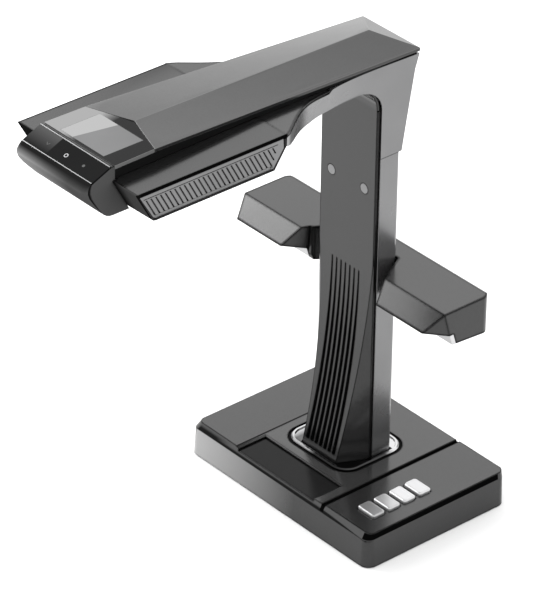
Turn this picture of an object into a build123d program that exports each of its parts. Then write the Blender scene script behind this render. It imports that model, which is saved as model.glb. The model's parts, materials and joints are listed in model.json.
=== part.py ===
from build123d import *
import math
import os

# Desktop book scanner: a weighted base, a flared column, a long arm with a camera head
# and a lift-off side light. Millimetres. X is to the right, the arm points along -Y and
# +Z is up. The origin is on the table, under the middle of the column.

# ---------------------------------------------------------------- base
BASE_LEFT = -95.0
BASE_RIGHT = 108.5
BASE_HALF_DEPTH = 69.8
FOOT_HEIGHT = 0.8
BASE_TOP = 29.2
CHAMFER_DROP = 5.8
BASE_WALL = 2.5
BASE_ROOF = 4.0
PANEL_LEFT = -45.6
GROOVE_LEFT = 53.2
GROOVE_RIGHT = 57.5
GROOVE_DEPTH = 1.8
PANEL_DROP = 0.5
FLOOR_THICKNESS = 2.0
BASE_MIDDLE = (BASE_LEFT + BASE_RIGHT) / 2
BASE_WIDTH = BASE_RIGHT - BASE_LEFT
# plan outlines of the base as x0, x1, y0, y1 and corner radius
BASE_TOE = (BASE_LEFT - 1.4, BASE_RIGHT + 2.0, -BASE_HALF_DEPTH - 1.4, BASE_HALF_DEPTH, 8.5)
BASE_SHOULDER = (BASE_LEFT, BASE_RIGHT, -BASE_HALF_DEPTH, BASE_HALF_DEPTH, 6.5)
BASE_CROWN = (BASE_LEFT + 3.2, BASE_RIGHT - 0.8, -BASE_HALF_DEPTH + 3.2, BASE_HALF_DEPTH - 0.9, 5.5)
CAVITY_TOP = BASE_TOP - BASE_ROOF
FLOOR_TOP = FOOT_HEIGHT + FLOOR_THICKNESS
REAR_WALL = BASE_HALF_DEPTH
SCREW_SPOTS = ((-86, -60), (99, -60), (-86, 48), (99, 48), (20, -60), (20, 60))

# name plate pocket on the base's front edge
POCKET = (PANEL_LEFT, 47.4, -37.6)
POCKET_BEVEL = 2.8
POCKET_LEDGE = 1.1
PLATE_DEPTH = 2.4
PLATE_THICKNESS = 0.9

# function buttons
BUTTON_X = 84.3
BUTTON_YS = (-45.0, -29.6, -14.2, 1.2)
BUTTON_LENGTH = 19.0
BUTTON_WIDTH = 12.2
BUTTON_RISE = 2.6
BUTTON_GAP = 0.35
BUTTON_TRAVEL = 1.2
SWITCH_TOP = 21.2
BUTTON_BOARD_YS = (BUTTON_YS[0] - 6.5, BUTTON_YS[-1] + 6.5)

# rear connectors: middle x, width, height
CONNECTOR_Z = 13.5
BOARD_BOTTOM = 9.5
BOARD_THICKNESS = 1.6
BOARD_TOP = BOARD_BOTTOM + BOARD_THICKNESS
HOST_PORT_XS = (-44.0, -62.0)
DEVICE_PORT_X = -80.0
HDMI_X = -26.0
POWER_JACK_X = 66.0
ROCKER_X = 88.0
ROCKER_TILT = 8.0
ROCKER_PIVOT_Y = REAR_WALL - 1.6
# openings in the rear wall: middle x, half width, low z, high z
REAR_CUTS = (
    (HOST_PORT_XS[0], 7.3, BOARD_TOP - 0.1, BOARD_TOP + 7.6),
    (HOST_PORT_XS[1], 7.3, BOARD_TOP - 0.1, BOARD_TOP + 7.6),
    (DEVICE_PORT_X, 6.5, BOARD_TOP - 0.1, BOARD_TOP + 9.6),
    (HDMI_X, 8.0, BOARD_TOP - 0.1, BOARD_TOP + 5.9),
    (POWER_JACK_X, 5.2, BOARD_TOP - 1.7, BOARD_TOP + 9.3),
    (ROCKER_X, 8.2, 7.9, 19.1),
)

# ---------------------------------------------------------------- column
PANEL_FACE = -1.0
PANEL_HALF = 30.0
COLUMN_HALF = 31.2
COLUMN_BACK = 22.6
COLLAR_LOW = CAVITY_TOP + 1.2
COLLAR_OPENING = (-38.0, 38.0, -31.5, 37.0, 17.0)
COLLAR_GAP = 2.6
BEAD_TOP = BASE_TOP + 0.8
DISH_LEVEL = BASE_TOP - 0.4
COLUMN_BOTTOM = COLLAR_LOW + 0.2
FLARE_BOTTOM = 29.8
FLARE_TOP = 200.0
FLARE_REACH = 22.5
FOOT_HALF = 19.4
COVER_WALL = 2.2
SEAM_FRONT = 0.9
SEAM_BACK = 2.6
SHELL_WALL = 2.0
CHEEK_WALL = 1.1
NECK_SEAM = 290.6
VENT_COUNT = 7
VENT_PITCH = 4.95
VENT_WIDTH = 2.9
VENT_BOTTOM = 34.0
VENT_TOP = 189.0
CAP_X = 18.2
CAP_Z = 261.4
CAP_RADIUS = 3.9

# ---------------------------------------------------------------- arm
ARCH_UNDERSIDE = 352.0
ARCH_RADIUS = 20.0
HEAD_BOTTOM = 345.0
EAVE_BACK = (31.5, 30.0, 371.2)
EAVE_FRONT = (38.5, -215.0, 382.0)
RIDGE_BACK_Y = 16.0
RIDGE_BACK_Z = 380.0
RIDGE_FRONT_Z = 382.7
BEZEL_APEX_Y = -202.0
BEZEL_BACK_Y = -215.0
BEZEL_FRONT_Y = -250.8
BEZEL_FRONT_HALF = 39.3
# underside of the arm as y and z, from the arch to the head
ARM_UNDERSIDE = ((-38.0, 351.6), (-56.0, 349.4), (-76.0, 347.0), (-100.0, 345.4), (-118.7, HEAD_BOTTOM))
# neck flare: y, half width at the top, half width at the low edge, z of that edge
FLARE_SECTIONS = ((0.0, 31.1, 31.0, 354.0), (-20.0, 31.7, 31.3, 352.6), (-38.0, 33.4, 31.6, 351.5),
                  (-53.0, 36.0, 32.0, 350.0), (-62.0, 37.0, 33.0, 349.6), (-70.0, 38.3, 35.4, 349.6),
                  (-78.0, 40.8, 38.6, 350.3), (-86.5, 44.9, 43.2, 351.6), (-97.0, 51.7, 50.6, 353.7),
                  (-105.0, 57.7, 57.0, 356.0), (-113.7, 64.2, 63.8, 359.2), (-118.8, 66.6, 66.4, 361.7))
ROOF_BACK_Y = 38.2
ROOF_EDGE = 2.6
ROOF_WALL = 2.0
BAND_INSET = 1.4
NECK_TOP_BACK = 366.6

# screen and control strip
SCREEN_HALF = 24.0
SCREEN_YS = (-248.4, -213.4)
STRIP_BACK = (-254.9, 382.0)
STRIP_FRONT = (-270.4, 375.3)
STRIP_HALF = 38.6
NOSE_HALF = 39.6
NOSE_BOTTOM = 343.8
NOSE_CORNER = 4.5
# nose front edge as y and z from the control strip down: across the middle, and at the ends
NOSE_MIDDLE = ((-272.6, 374.6), (-275.6, 373.2), (-277.3, 371.0), (-277.8, 368.4), (-276.6, 365.2),
               (-273.0, 360.2), (-267.2, 353.6), (-260.4, 346.2))
NOSE_CHIN = ((-258.2, 345.0), (-255.8, 344.1), (-252.4, NOSE_BOTTOM), (-238.6, NOSE_BOTTOM), (-250.0, 369.4))
NOSE_CAVITY = ((-251.0, 379.0), (-254.0, 379.0), (-269.0, 372.4), (-274.4, 370.0), (-275.0, 368.0),
               (-256.8, 346.2), (-241.0, 346.0), (-251.0, 369.4))
NOSE_END = ((-270.6, 374.2), (-271.0, 372.4), (-271.3, 370.0), (-271.3, 367.2), (-269.9, 362.6),
            (-267.2, 357.4), (-264.0, 351.6), (-260.2, 346.4))

# camera, lasers and inner frame
LENS_Y = -186.0
LASER_XS = (-16.0, 0.0, 16.0)
LASER_Y = -222.0
HEAD_SCREWS = ((-32, -126), (32, -126), (-32, -230), (32, -230))
FRAME_FRONT = 5.0
FRAME_BACK = 17.0
FRAME_HALF = 22.0
FRAME_TOP = 360.0
BOLT_X = 16.0
SPINE_FRONT = -236.0
SPINE_BOTTOM = 356.4

# side pods of the head
POD_HALF = 66.5
POD_INNER = 39.9
POD_TOP = 371.0
POD_BOTTOM = 346.0
POD_FRONT = -253.2
POD_FRONT_LOW = -239.5
# rounded corner between the pod's sloped front and its bottom, as steps in y and z
POD_TOE = ((2.7, 0.0), (0.4, 0.6), (-1.3, 2.3))
POD_BACK = -119.0
POD_BACK_LOW = -129.8
POD_REAR_LOW = 361.7
LID_START = -52.0
LID_INNER = 29.0
LID_THICKNESS = 1.1
LID_GASKET = 1.3
RIB_PITCH = 4.2
RIB_GROOVE = 1.2
RIB_HIGH = 364.6
RIB_LOW = 350.6
LAMP_MIDDLE = 51.2
LAMP_HALF = 8.5
LAMP_BACK = -137.0
LAMP_FRONT = -231.0

# ---------------------------------------------------------------- side light
LIGHT_HALF = 112.8
LIGHT_TOP = 199.0
LIGHT_BACK = 42.2
LIGHT_CORNER = 8.0
HOOD_TOP_Y = -4.3
HOOD_LOW = (-18.9, 185.0)
WINDOW_TOP = (1.4, 178.6)
WINDOW_LOW = (4.2, 170.0)
WINDOW_THICKNESS = 3.6
LIGHT_REAR_LOW = (37.7, 167.6)
HOOD_END_HALF = 104.6
HOOD_INNER_HALF = 54.0
RECESS_HALF = 47.0
WINDOW_INNER = 47.2
LIGHT_CAVITY = ((-3.2, 196.8), (-14.0, 186.6), (3.0, 181.2), (8.4, 180.8), (8.4, 172.0), (35.7, 170.2),
                (39.9, 174.0), (39.9, 196.8))
MAGNET_XS = (-18.0, 18.0)
MAGNET_Z = 184.0
PAD_FACE = COLUMN_BACK + 0.4


# ---------------------------------------------------------------- helpers
def ring(points):
    return Wire.make_polygon([Vector(*point) for point in points], close=True)


def ruled(*sections):
    """Solid through matching planar polygons, with straight sides between them."""
    return Solid.make_loft([ring(section) for section in sections], ruled=True)


def smooth(*sections):
    """Solid through matching planar polygons, with flowing sides between them."""
    return Solid.make_loft([ring(section) for section in sections])


def block(x0, x1, y0, y1, z0, z1):
    place = Pos((x0 + x1) / 2, (y0 + y1) / 2, (z0 + z1) / 2)
    return place * Box(abs(x1 - x0), abs(y1 - y0), abs(z1 - z0))


def soft_block(x0, x1, y0, y1, z0, z1, radius):
    """Block whose upright edges are rounded."""
    outline = RectangleRounded(x1 - x0, y1 - y0, radius)
    return Pos((x0 + x1) / 2, (y0 + y1) / 2, z0) * extrude(outline, amount=z1 - z0)


def upright(outline, z0, z1):
    """Prism over a plan outline of (x, y) points."""
    return ruled([(x, y, z0) for x, y in outline], [(x, y, z1) for x, y in outline])


def sideways(profile, x0, x1):
    """Prism between two x planes over a side profile of (y, z) points."""
    return ruled([(x0, y, z) for y, z in profile], [(x1, y, z) for y, z in profile])


def post(x, y, z0, z1, radius):
    return Pos(x, y, (z0 + z1) / 2) * Cylinder(radius, z1 - z0)


def peg_y(x, z, y0, y1, radius):
    """Cylinder along Y."""
    return Pos(x, (y0 + y1) / 2, z) * Rot(90, 0, 0) * Cylinder(radius, y1 - y0)


def both_sides(shape):
    return shape + mirror(shape, about=Plane.YZ)


def arc(centre, radii, start, end, count):
    """Points of an elliptical arc in a (y, z) plane, angles in degrees from +Y."""
    points = []
    for step in range(count + 1):
        angle = math.radians(start + (end - start) * step / count)
        y = centre[0] + radii[0] * math.cos(angle)
        z = centre[1] + radii[1] * math.sin(angle)
        points.append((y, z))
    return points


def group(shapes):
    return Compound(children=list(shapes))


def write(name, shape):
    export_step(shape, os.path.join("parts", name + ".step"))


# ---------------------------------------------------------------- arm lines
def along(y, back, front):
    """Value at y on the straight line from back = (y, v) to front = (y, v)."""
    return back[1] + (front[1] - back[1]) * (y - back[0]) / (front[0] - back[0])


def eave_half(y):
    return along(y, (EAVE_BACK[1], EAVE_BACK[0]), (EAVE_FRONT[1], EAVE_FRONT[0]))


def eave_z(y):
    return along(y, (EAVE_BACK[1], EAVE_BACK[2]), (EAVE_FRONT[1], EAVE_FRONT[2]))


def ridge_z(y):
    return along(y, (RIDGE_BACK_Y, RIDGE_BACK_Z), (BEZEL_APEX_Y, RIDGE_FRONT_Z))


def neck_top(y):
    """Top edge of the pale neck shell; it climbs slowly towards the head."""
    return along(y, (ROOF_BACK_Y, NECK_TOP_BACK), (POD_BACK, POD_TOP))


def flare(z):
    """Half width and face position of the column's front panel at height z."""
    part = max(0.0, (FLARE_TOP - z) / (FLARE_TOP - FLARE_BOTTOM))
    half = PANEL_HALF - (PANEL_HALF - FOOT_HALF) * (part + math.sin(part * math.pi / 2)) / 2
    return half, PANEL_FACE - FLARE_REACH * part ** 2.1


# ---------------------------------------------------------------- base parts
def outline_face(outline, inset, z):
    """Face of a rounded plan outline (x0, x1, y0, y1, radius) shrunk by inset, at height z."""
    x0, x1, y0, y1, radius = outline
    face = RectangleRounded(x1 - x0 - 2 * inset, y1 - y0 - 2 * inset, max(1.0, radius - inset)).face()
    return Pos((x0 + x1) / 2, (y0 + y1) / 2, z) * face


def plan_prism(outline, inset, z0, z1):
    return extrude(outline_face(outline, inset, z0), amount=z1 - z0, dir=(0, 0, 1))


def base_block(inset, bottom, top):
    """Slab that spreads towards the table, with a sloped shoulder, shrunk by inset."""
    shoulder = top - CHAMFER_DROP
    lower = loft([outline_face(BASE_TOE, inset, bottom), outline_face(BASE_SHOULDER, inset, shoulder)])
    crown = loft([outline_face(BASE_SHOULDER, inset, shoulder), outline_face(BASE_CROWN, inset, top)])
    return lower + crown


def foot_outline(grow):
    """Plan outline of the column where it meets the base."""
    half, face = flare(COLUMN_BOTTOM)
    side = COLUMN_HALF + grow
    back = COLUMN_BACK + grow
    return [(-half - grow * 0.7, face - grow), (half + grow * 0.7, face - grow),
            (side, PANEL_FACE - grow * 0.4), (side, back), (-side, back), (-side, PANEL_FACE - grow * 0.4)]


def pocket_section(inset, z):
    """Plan outline of the name plate pocket, open towards the front edge."""
    x0, x1, y1 = POCKET
    front = -BASE_HALF_DEPTH - 4
    corners = [(x0 + inset, front), (x1 - inset, front), (x1 - inset, y1 - inset), (x0 + inset, y1 - inset)]
    return [(x, y, z) for x, y in corners]


def pocket_cut():
    """Bevelled frame round a well with upright sides."""
    ledge = BASE_TOP - POCKET_LEDGE
    floor = BASE_TOP - PLATE_DEPTH
    overshoot = POCKET_BEVEL / POCKET_LEDGE
    frame = ruled(pocket_section(POCKET_BEVEL, ledge), pocket_section(-overshoot, BASE_TOP + 1.0))
    well = ruled(pocket_section(POCKET_BEVEL, floor), pocket_section(POCKET_BEVEL, ledge + 0.1))
    return frame + well


def plate_block(inset, z0, z1):
    x0, x1, y1 = POCKET
    edge = POCKET_BEVEL + inset
    return block(x0 + edge, x1 - edge, -BASE_HALF_DEPTH + 3.0 + inset, y1 - edge, z0, z1)


def rear_openings():
    cuts = []
    for x, half, low, high in REAR_CUTS:
        cuts.append(block(x - half, x + half, REAR_WALL - 6, REAR_WALL + 1, low, high))
    return cuts


def base_top_cover():
    cover = base_block(0, FOOT_HEIGHT, BASE_TOP)
    cover -= base_block(BASE_WALL, FOOT_HEIGHT - 1, CAVITY_TOP)
    step = [(PANEL_LEFT, BASE_TOP - PANEL_DROP), (GROOVE_LEFT, BASE_TOP - PANEL_DROP),
            (GROOVE_LEFT, BASE_TOP + 1), (PANEL_LEFT - 2.0, BASE_TOP + 1), (PANEL_LEFT - 1.0, BASE_TOP)]
    cover -= ruled([(x, -80, z) for x, z in step], [(x, 80, z) for x, z in step])
    trench = [(GROOVE_LEFT - 0.6, BASE_TOP + 1), (GROOVE_LEFT + 0.9, BASE_TOP - GROOVE_DEPTH),
              (GROOVE_RIGHT - 0.8, BASE_TOP - GROOVE_DEPTH), (GROOVE_RIGHT + 0.5, BASE_TOP + 1)]
    cover -= ruled([(x, -80, z) for x, z in trench], [(x, 80, z) for x, z in trench])
    for x, y in SCREW_SPOTS:
        boss = post(x, y, FLOOR_TOP, CAVITY_TOP + 0.5, 4.0)
        cover += boss - post(x, y, FLOOR_TOP - 1, CAVITY_TOP - 2, 1.25)
    cover -= pocket_cut()
    cover -= plate_block(-0.15, BASE_TOP - PLATE_DEPTH - PLATE_THICKNESS, BASE_TOP - PLATE_DEPTH + 0.1)
    cover -= plan_prism(COLLAR_OPENING, 0, COLLAR_LOW, BASE_TOP + 1)
    wide = FRAME_HALF + 1
    cover -= block(-wide, wide, FRAME_FRONT - 1, FRAME_BACK + 1, CAVITY_TOP - 1, BASE_TOP)
    for y in BUTTON_YS:
        cover -= button_block(y, BUTTON_GAP, CAVITY_TOP - 1, BASE_TOP + 1)
    for cut in rear_openings():
        cover -= cut
    return cover


def base_bottom_plate():
    plate = plan_prism(BASE_TOE, BASE_WALL + 0.4, FOOT_HEIGHT, FLOOR_TOP)
    for x, y in SCREW_SPOTS:
        plate -= post(x, y, 0, FLOOR_TOP + 1, 1.7)
        plate -= post(x, y, 0, FOOT_HEIGHT + 1.1, 3.1)
    for y in (-30, -24, -18, -12):
        plate -= block(66, 98, y - 1, y + 1, 0, FLOOR_TOP + 1)
    return plate


def foot_ring():
    """One continuous non-slip rubber ring under the floor."""
    outer = RectangleRounded(BASE_WIDTH - 24, 2 * BASE_HALF_DEPTH - 38, 9)
    inner = RectangleRounded(BASE_WIDTH - 42, 2 * BASE_HALF_DEPTH - 56, 5)
    band = Pos(BASE_MIDDLE, 0, 0) * extrude(outer - inner, amount=FOOT_HEIGHT)
    return band


def case_screws():
    """Cross-head screws of the base floor and of the head's lower cover."""
    screws = []
    for x, y in HEAD_SCREWS:
        head = post(x, y, HEAD_BOTTOM - 0.9, HEAD_BOTTOM, 2.4)
        screws.append(head + post(x, y, HEAD_BOTTOM - 0.4, HEAD_BOTTOM + 9, 1.2))
    for x, y in SCREW_SPOTS:
        head = post(x, y, FOOT_HEIGHT + 0.1, FOOT_HEIGHT + 1.1, 2.8)
        shank = post(x, y, FOOT_HEIGHT + 0.6, FLOOR_TOP + 9, 1.2)
        slot_a = block(x - 1.6, x + 1.6, y - 0.3, y + 0.3, FOOT_HEIGHT, FOOT_HEIGHT + 0.6)
        slot_b = block(x - 0.3, x + 0.3, y - 1.6, y + 1.6, FOOT_HEIGHT, FOOT_HEIGHT + 0.6)
        screws.append(head + shank - slot_a - slot_b)
    return group(screws)


def ballast_plate():
    plate = soft_block(-30, 60, -54, 44, FLOOR_TOP, FLOOR_TOP + 5, 4)
    for x in (-BOLT_X, BOLT_X):
        for y in (-10, 14):
            plate -= post(x, y, 0, 20, 1.6)
    return plate


def main_board():
    board = block(-91, -32, -50, REAR_WALL - 4.0, BOARD_BOTTOM, BOARD_TOP)
    board += block(-33, -16, 48, REAR_WALL - 4.0, BOARD_BOTTOM, BOARD_TOP)
    board -= post(-86, 48, 0, 20, 4.6)
    for x, y in ((-80, -42), (-46, -42)):
        board -= post(x, y, 0, 20, 1.6)
    return board


def board_chips():
    spots = ((-72, -20, 8, 8, 1.6), (-48, -24, 6, 6, 1.4), (-52, 8, 9, 6, 1.5), (-74, 14, 5, 9, 1.5),
             (-44, 34, 4, 4, 1.2), (-84, 36, 3, 5, 2.4))
    chips = []
    for x, y, half_x, half_y, height in spots:
        chips.append(block(x - half_x, x + half_x, y - half_y, y + half_y, BOARD_TOP, BOARD_TOP + height))
    return group(chips)


def board_posts():
    """Posts that carry the main board and the button board on the floor plate."""
    posts = []
    for x, y in ((-80, -42), (-46, -42), (-80, 30), (-40, 22)):
        posts.append(post(x, y, FLOOR_TOP, BOARD_BOTTOM, 3.0))
    for y in BUTTON_BOARD_YS:
        posts.append(post(96, y, FLOOR_TOP, SWITCH_TOP - 5.6, 2.6))
    return group(posts)


def name_plate():
    top = BASE_TOP - PLATE_DEPTH
    return plate_block(0.0, top - PLATE_THICKNESS, top)


def column_collar():
    """Glossy dish round the column's foot with a raised bead along its rim."""
    low = COLLAR_LOW + 0.05
    rim = COLLAR_GAP + 0.1
    dish = plan_prism(COLLAR_OPENING, rim, low, DISH_LEVEL)
    hill_foot = outline_face(COLLAR_OPENING, rim, DISH_LEVEL - 0.4)
    hill_top = outline_face(COLLAR_OPENING, rim + 0.9, BEAD_TOP)
    bowl_foot = outline_face(COLLAR_OPENING, rim + 3.2, DISH_LEVEL)
    bowl_top = outline_face(COLLAR_OPENING, rim + 2.2, BEAD_TOP + 0.1)
    hill = loft([hill_foot, hill_top])
    bowl = loft([bowl_foot, bowl_top])
    return dish + (hill - bowl) - upright(foot_outline(0.4), low - 1, BASE_TOP + 4)


def collar_gasket():
    """Black rubber band in the gap between the base and the collar."""
    low = COLLAR_LOW + 0.05
    band = plan_prism(COLLAR_OPENING, 0.1, low, BASE_TOP - 1.6)
    return band - plan_prism(COLLAR_OPENING, COLLAR_GAP, low - 1, BASE_TOP)


# ---------------------------------------------------------------- buttons
def button_block(y, grow, z0, z1):
    half_length = BUTTON_LENGTH / 2 + grow
    half_width = BUTTON_WIDTH / 2 + grow
    return soft_block(BUTTON_X - half_length, BUTTON_X + half_length, y - half_width, y + half_width,
                      z0, z1, 2.6 + grow)


def function_button(y):
    """Pillow cap with a flange that holds it under the cover and a stem on its switch."""
    top = BASE_TOP + BUTTON_RISE
    cap = button_block(y, 0, CAVITY_TOP - 0.6, top)
    rim = cap.faces().sort_by(Axis.Z)[-1].edges()
    cap = fillet(rim, 1.5)
    flange = button_block(y, 1.3, CAVITY_TOP - 1.4, CAVITY_TOP - 0.05)
    low = SWITCH_TOP + BUTTON_TRAVEL + 0.1
    stem = block(BUTTON_X - 2, BUTTON_X + 2, y - 2, y + 2, low, CAVITY_TOP - 1.0)
    return cap + flange + stem


def button_board():
    board = block(70, 99, BUTTON_YS[0] - 9, BUTTON_YS[-1] + 9, SWITCH_TOP - 5.6, SWITCH_TOP - 4.0)
    for y in BUTTON_BOARD_YS:
        board -= post(96, y, 0, 30, 1.3)
    return board


def button_switches():
    switches = []
    for y in BUTTON_YS:
        can = block(BUTTON_X - 3, BUTTON_X + 3, y - 3, y + 3, SWITCH_TOP - 4.0, SWITCH_TOP - 0.8)
        switches.append(can + post(BUTTON_X, y, SWITCH_TOP - 1.0, SWITCH_TOP, 1.7))
    return group(switches)


# ---------------------------------------------------------------- rear connectors
def port_shell(x, half, low, high, lip):
    outer = block(x - half, x + half, REAR_WALL - 14, REAR_WALL - 0.4, low, high)
    inner_half = half - lip
    return outer - block(x - inner_half, x + inner_half, REAR_WALL - 11, REAR_WALL + 1, low + lip, high - lip)


def signal_ports():
    """Metal shells of the two host sockets, the device socket and the video socket."""
    ports = []
    for x in HOST_PORT_XS:
        ports.append(port_shell(x, 7.0, BOARD_TOP, BOARD_TOP + 7.3, 0.6))
    ports.append(port_shell(DEVICE_PORT_X, 6.2, BOARD_TOP, BOARD_TOP + 9.3, 0.9))
    video = sloped_port(7.6, BOARD_TOP, BOARD_TOP + 5.6, -14, -0.4)
    ports.append(video - sloped_port(6.9, BOARD_TOP + 0.6, BOARD_TOP + 5.0, -11, 1))
    return group(ports)


def tongue(x, half, low, high):
    """Contact board inside a socket, with heights above the circuit board."""
    return block(x - half, x + half, REAR_WALL - 11, REAR_WALL - 2, BOARD_TOP + low, BOARD_TOP + high)


def port_contacts():
    """Tongues and pin inside the sockets."""
    inside = []
    for x in HOST_PORT_XS:
        inside.append(tongue(x, 5.4, 4.0, 6.0))
    inside.append(tongue(DEVICE_PORT_X, 2.8, 3.2, 6.2))
    inside.append(tongue(HDMI_X, 5.5, 2.6, 3.6))
    inside.append(peg_y(POWER_JACK_X, BOARD_TOP + 3.8, REAR_WALL - 11, REAR_WALL - 1.5, 1.0))
    return group(inside)


def sloped_port(half, low, high, y0, y1):
    profile = [(HDMI_X - half, high), (HDMI_X + half, high), (HDMI_X + half, low + 1.8),
               (HDMI_X + half - 1.6, low), (HDMI_X - half + 1.6, low), (HDMI_X - half, low + 1.8)]
    return ruled([(x, REAR_WALL + y0, z) for x, z in profile], [(x, REAR_WALL + y1, z) for x, z in profile])


def power_jack():
    z = BOARD_TOP + 3.8
    body = block(POWER_JACK_X - 4.9, POWER_JACK_X + 4.9, REAR_WALL - 14, REAR_WALL - 0.3, z - 5.2, z + 5.2)
    return body - peg_y(POWER_JACK_X, z, REAR_WALL - 11, REAR_WALL + 1, 3.2)


def rocker_frame():
    z = CONNECTOR_Z
    body = block(ROCKER_X - 8.0, ROCKER_X + 8.0, REAR_WALL - 12, REAR_WALL, z - 5.4, z + 5.4)
    lip = block(ROCKER_X - 9.4, ROCKER_X + 9.4, REAR_WALL, REAR_WALL + 1.0, z - 6.6, z + 6.6)
    well = block(ROCKER_X - 6.9, ROCKER_X + 6.9, REAR_WALL - 9, REAR_WALL + 2, z - 4.4, z + 4.4)
    return body + lip - well


def power_rocker():
    """Two-position rocker on an upright pivot, stored in its off position."""
    profile = [(-6.4, 1.9), (0, 0.6), (6.4, 1.9), (6.4, -0.8), (2.4, -4.4), (-2.4, -4.4), (-6.4, -0.8)]
    half = 4.1
    cap = ruled([(x, y, -half) for x, y in profile], [(x, y, half) for x, y in profile])
    cap += Cylinder(1.3, 2 * half + 0.5)
    turned = Rot(0, 0, ROCKER_TILT) * cap
    return Pos(ROCKER_X, ROCKER_PIVOT_Y, CONNECTOR_Z) * turned


# ---------------------------------------------------------------- column parts
def panel_section(z, inset):
    """Front panel, its two flanks and the seam edge at one height."""
    half, face = flare(z)
    side = COLUMN_HALF - 0.6 - inset
    back = SEAM_FRONT + (1.0 if inset else 0.0)
    shoulder = half - inset * 0.75
    return [(-shoulder, face + inset, z), (shoulder, face + inset, z), (side, PANEL_FACE + 0.9, z),
            (side, back, z), (-side, back, z), (-side, PANEL_FACE + 0.9, z)]


def panel_body(inset, low, high):
    lower = smooth(*[panel_section(z, inset) for z in spread(low, FLARE_TOP, 9)])
    upper = ruled(panel_section(FLARE_TOP, inset), panel_section(high, inset))
    return lower + upper


def spread(first, last, count):
    return [first + (last - first) * step / (count - 1) for step in range(count)]


def vent_cut(x):
    """Slot that narrows to a point at its upper end."""
    half = VENT_WIDTH / 2
    outline = [(x - half, VENT_BOTTOM), (x + half, VENT_BOTTOM), (x + half * 0.8, 130.0),
               (x + 0.35, VENT_TOP), (x - 0.35, VENT_TOP), (x - half * 0.8, 130.0)]
    return ruled([(px, -40, z) for px, z in outline], [(px, PANEL_FACE + 6, z) for px, z in outline])


def vent_xs():
    return [VENT_PITCH * (index - (VENT_COUNT - 1) / 2) for index in range(VENT_COUNT)]


def arch_underside(drop):
    """Underside line (y, z) from the column's face over the arch to the head."""
    start = ARCH_UNDERSIDE - ARCH_RADIUS
    bend = arc((PANEL_FACE - ARCH_RADIUS, start), (ARCH_RADIUS + drop, ARCH_RADIUS + drop), 0, 90, 8)
    return bend + [(y, z + drop) for y, z in ARM_UNDERSIDE]


def column_front_cover():
    """Dark front panel: flared and vented at the foot, rolled forward under the arm."""
    cover = panel_body(0, COLUMN_BOTTOM, 331.0)
    cover -= panel_body(COVER_WALL, COLUMN_BOTTOM - 2, 333.0) & block(-40, 40, -40, 10, 0, 333)
    outer = arch_underside(0)
    inner = arch_underside(COVER_WALL)
    inner.reverse()
    cover += sideways([(PANEL_FACE, 330.8)] + outer + inner + [(PANEL_FACE + COVER_WALL, 330.8)],
                      -PANEL_HALF, PANEL_HALF)
    for x in vent_xs():
        cover -= vent_cut(x)
    for x in (-CAP_X, CAP_X):
        cover -= peg_y(x, CAP_Z, PANEL_FACE - 1, PANEL_FACE + 4, CAP_RADIUS + 0.1)
    return cover


def vent_screen():
    """Black dust mesh plate that follows the inside of the vented panel."""
    heights = spread(COLUMN_BOTTOM + 2, VENT_TOP + 6, 12)
    front = [(flare(z)[1] + COVER_WALL + 0.6, z) for z in heights]
    back = [(y + 0.8, z) for y, z in front]
    back.reverse()
    return sideways(front + back, -17.2, 17.2)


def screw_caps():
    caps = []
    for x in (-CAP_X, CAP_X):
        caps.append(peg_y(x, CAP_Z, PANEL_FACE - 0.15, PANEL_FACE + 1.6, CAP_RADIUS))
    return group(caps)


def seam_strips():
    """Black strips in the seams between the front panel and the pale side shell."""
    strip = block(COLUMN_HALF - 2.6, COLUMN_HALF - 1.2, SEAM_FRONT + 0.05, SEAM_BACK - 0.05,
                  COLUMN_BOTTOM, ARCH_UNDERSIDE - ARCH_RADIUS)
    return group([strip, mirror(strip, about=Plane.YZ)])


def column_rear_shell():
    """Pale U-shaped channel that closes the column's sides and back."""
    outer = soft_block(-COLUMN_HALF, COLUMN_HALF, SEAM_BACK - 12, COLUMN_BACK,
                       COLUMN_BOTTOM, NECK_SEAM - 0.2, 4.0)
    wall = SHELL_WALL
    inner = soft_block(-COLUMN_HALF + wall, COLUMN_HALF - wall, SEAM_BACK - 14, COLUMN_BACK - wall,
                       COLUMN_BOTTOM - 1, NECK_SEAM + 1, 2.5)
    shell = outer - inner
    return shell - block(-40, 40, -20, SEAM_BACK, 0, 400)


def column_frame():
    """Folded aluminium channel that stands on the ballast and holds the arm's spine."""
    channel = block(-FRAME_HALF, FRAME_HALF, FRAME_FRONT, FRAME_BACK, FLOOR_TOP + 8, FRAME_TOP)
    channel -= block(-FRAME_HALF + 2, FRAME_HALF - 2, FRAME_FRONT + 2, FRAME_BACK + 1, 0, FRAME_TOP + 1)
    flange = block(-24, 24, -16, 18.5, FLOOR_TOP + 5, FLOOR_TOP + 8)
    for x in (-BOLT_X, BOLT_X):
        for y in (-10, 14):
            flange -= post(x, y, 0, 20, 1.7)
    frame = channel + flange
    for x in (-CAP_X, CAP_X):
        frame -= peg_y(x, CAP_Z, FRAME_FRONT - 1, FRAME_FRONT + 3, 1.3)
    return frame


def frame_bolts():
    """Bolts through the foot flange, and the two screws behind the panel's caps."""
    bolts = []
    for x in (-CAP_X, CAP_X):
        head = peg_y(x, CAP_Z, PANEL_FACE + 2.3, PANEL_FACE + 4.3, 2.7)
        bolts.append(head + peg_y(x, CAP_Z, PANEL_FACE + 4.2, FRAME_FRONT + 2.2, 1.2))
    for x in (-BOLT_X, BOLT_X):
        for y in (-10, 14):
            head = post(x, y, FLOOR_TOP + 8, FLOOR_TOP + 10.4, 2.9)
            bolts.append(head + post(x, y, FLOOR_TOP + 0.4, FLOOR_TOP + 8.5, 1.5))
    return group(bolts)


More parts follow.
